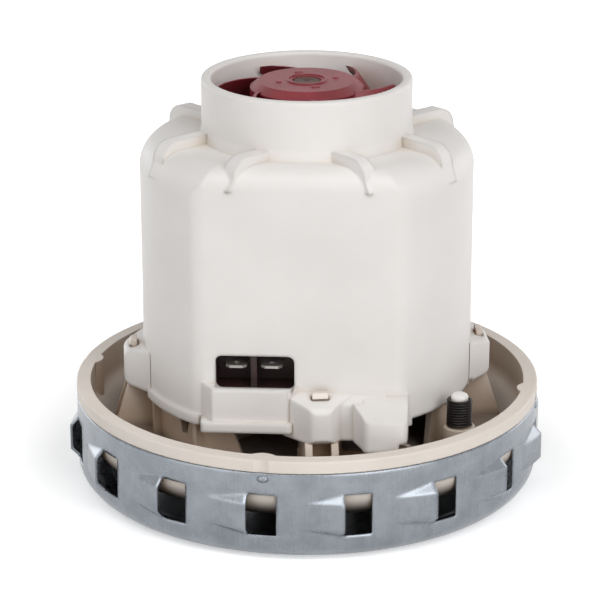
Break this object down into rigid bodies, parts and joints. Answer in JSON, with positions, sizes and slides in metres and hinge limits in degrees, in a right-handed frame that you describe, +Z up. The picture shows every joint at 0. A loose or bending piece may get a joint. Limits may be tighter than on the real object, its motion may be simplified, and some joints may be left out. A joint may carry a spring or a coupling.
{
  "type": "vacuum motor unit",
  "caption": "Bypass vacuum cleaner motor with a moulded housing, a top cooling fan in its collar, and an impeller in a louvred pressed steel shroud below a moulded rim.",
  "frame": {"origin": "on the shaft axis, in the plane of the steel shroud's bottom", "axes": "+Z up the shaft towards the cooling fan, -Y out of the flat front with the terminal window"},
  "size_m": [0.1466, 0.1466, 0.128],
  "materials": {
    "white_plastic": "moulded, satin",
    "cream_plastic": "moulded, satin",
    "zinc_steel": "zinc plated, pressed",
    "red_plastic": "moulded, satin",
    "dark_red_plastic": "moulded",
    "tin_plated_brass": "tin plated",
    "black_spring_steel": "black oxide",
    "spring_steel": "drawn wire",
    "electrical_steel": "stacked sheet",
    "enamelled_copper": "enamelled",
    "machined_steel": "turned",
    "aluminium_sheet": "pressed sheet",
    "brass": "drawn",
    "black_plastic": "moulded",
    "carbon": "pressed and ground",
    "rubber": "moulded",
    "nylon": "moulded"
  },
  "bodies": {
    "frame": {"upper_housing": "white_plastic", "lower_frame": "cream_plastic", "fan_shroud": "zinc_steel", "stator_core": "electrical_steel", "field_coil_front": "enamelled_copper", "field_coil_back": "enamelled_copper", "stator_screws": "machined_steel", "upper_bearing_boot": "rubber", "upper_bearing_outer_ring": "machined_steel", "lower_bearing_outer_ring": "machined_steel", "lower_bearing_retainer": "machined_steel", "brush_holder_left": "black_plastic", "brush_holder_right": "black_plastic", "brush_tube_left": "brass", "brush_tube_right": "brass", "terminal_carrier": "dark_red_plastic", "terminal_tab_left": "tin_plated_brass", "terminal_tab_right": "tin_plated_brass", "contact_spring": "black_spring_steel", "spring_peg": "white_plastic", "brush_spring_left": "spring_steel", "brush_spring_right": "spring_steel"},
    "rotor": {"rotor_shaft": "machined_steel", "armature_core": "electrical_steel", "armature_winding": "enamelled_copper", "commutator_bars": "enamelled_copper", "commutator_hub": "dark_red_plastic", "cooling_fan": "red_plastic", "upper_bearing_inner_ring": "machined_steel", "lower_bearing_inner_ring": "machined_steel", "impeller_back_plate": "aluminium_sheet", "impeller_blades": "aluminium_sheet", "impeller_front_plate": "aluminium_sheet", "impeller_spacer": "machined_steel", "impeller_washer": "machined_steel", "impeller_nut": "machined_steel"},
    "brush_left": {"carbon_brush_left": "carbon"},
    "brush_right": {"carbon_brush_right": "carbon"},
    "upper_balls": {"upper_bearing_balls": "machined_steel", "upper_bearing_cage": "nylon"},
    "lower_balls": {"lower_bearing_balls": "machined_steel", "lower_bearing_cage": "nylon"}
  },
  "joints": [
    {"name": "rotor_spin", "type": "hinge", "parent": "frame", "child": "rotor", "pos_m": [0, 0, 0], "axis": [0, 0, 1], "continuous": true},
    {"name": "brush_left_slide", "type": "slide", "parent": "frame", "child": "brush_left", "axis": [-1, 0, 0], "range_m": [0, 0.006], "stiffness_N_per_m": 150, "springref_m": -0.02, "deforming": ["brush_spring_left"]},
    {"name": "brush_right_slide", "type": "slide", "parent": "frame", "child": "brush_right", "axis": [1, 0, 0], "range_m": [0, 0.006], "stiffness_N_per_m": 150, "springref_m": -0.02, "deforming": ["brush_spring_right"]},
    {"name": "upper_cage_spin", "type": "hinge", "parent": "frame", "child": "upper_balls", "pos_m": [0, 0, 0.105], "axis": [0, 0, 1], "continuous": true},
    {"name": "lower_cage_spin", "type": "hinge", "parent": "frame", "child": "lower_balls", "pos_m": [0, 0, 0.0235], "axis": [0, 0, 1], "continuous": true}
  ],
  "couplings": [
    {"joint": "upper_cage_spin", "follows": "rotor_spin", "ratio": 0.3677},
    {"joint": "lower_cage_spin", "follows": "rotor_spin", "ratio": 0.3677}
  ]
}
